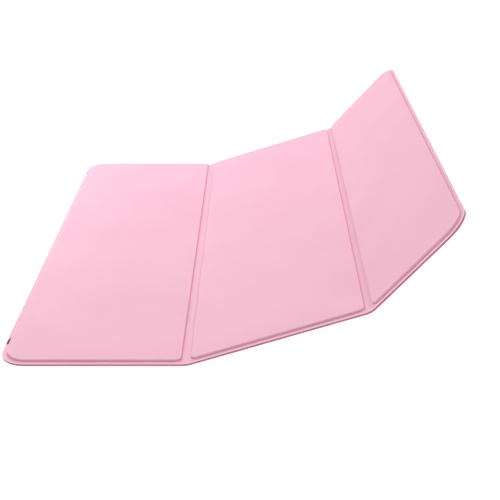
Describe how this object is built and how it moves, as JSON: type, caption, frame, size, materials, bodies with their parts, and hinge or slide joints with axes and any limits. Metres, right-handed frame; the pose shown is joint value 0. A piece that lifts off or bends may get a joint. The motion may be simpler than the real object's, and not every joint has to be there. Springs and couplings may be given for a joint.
{
  "type": "folding tablet cover",
  "caption": "Folding magnetic tablet cover: stiff raised panels in one soft skin, joined by thin fold webs, on a hinge strip that clings to the tablet's side.",
  "frame": {"origin": "middle of the hinge strip's magnetic face, which lies on the tablet's side", "axes": "+X from the strip across the tablet to the cover's free edge, +Y along the strip, +Z out of the screen"},
  "size_m": [0.1573, 0.238, 0.0587],
  "materials": {
    "skin": "soft matte pale pink faux leather, fine grain",
    "lining": "short-nap pink microfibre",
    "board": "pale fibre-filled sheet",
    "bar": "dark maroon moulded plastic",
    "magnet": "nickel plate",
    "keeper": "plain steel strip"
  },
  "bodies": {
    "spine": {"spine_bar": "bar", "spine_magnets_near": "magnet", "spine_magnets_far": "magnet", "spine_skin": "skin", "spine_lining": "lining", "hinge_web_skin": "skin", "hinge_web_lining": "lining"},
    "panel_1": {"panel_1_skin": "skin", "panel_1_board": "board", "panel_1_lining": "lining", "stand_keeper": "keeper", "fold_1_web_skin": "skin", "fold_1_web_lining": "lining"},
    "panel_2": {"panel_2_skin": "skin", "panel_2_board": "board", "panel_2_lining": "lining", "fold_2_web_skin": "skin", "fold_2_web_lining": "lining"},
    "panel_3": {"panel_3_skin": "skin", "panel_3_board": "board", "panel_3_lining": "lining", "edge_magnets": "magnet", "sleep_magnet": "magnet"}
  },
  "joints": [
    {"name": "spine_hinge", "type": "hinge", "parent": "spine", "child": "panel_1", "pos_m": [-0.0021, 0, 0.0029], "axis": [0, -1, 0], "range_deg": [0, 180], "deforming": ["hinge_web_skin", "hinge_web_lining"]},
    {"name": "fold_1", "type": "hinge", "parent": "panel_1", "child": "panel_2", "pos_m": [0.0623, 0, 0.00405], "axis": [0, -1, 0], "range_deg": [-154.4, 77.6], "deforming": ["fold_1_web_skin", "fold_1_web_lining"]},
    {"name": "fold_2", "type": "hinge", "parent": "panel_2", "child": "panel_3", "pos_m": [0.12404, 0, 0.0234], "axis": [0, -1, 0], "range_deg": [-147.8, 65.2], "deforming": ["fold_2_web_skin", "fold_2_web_lining"]}
  ]
}
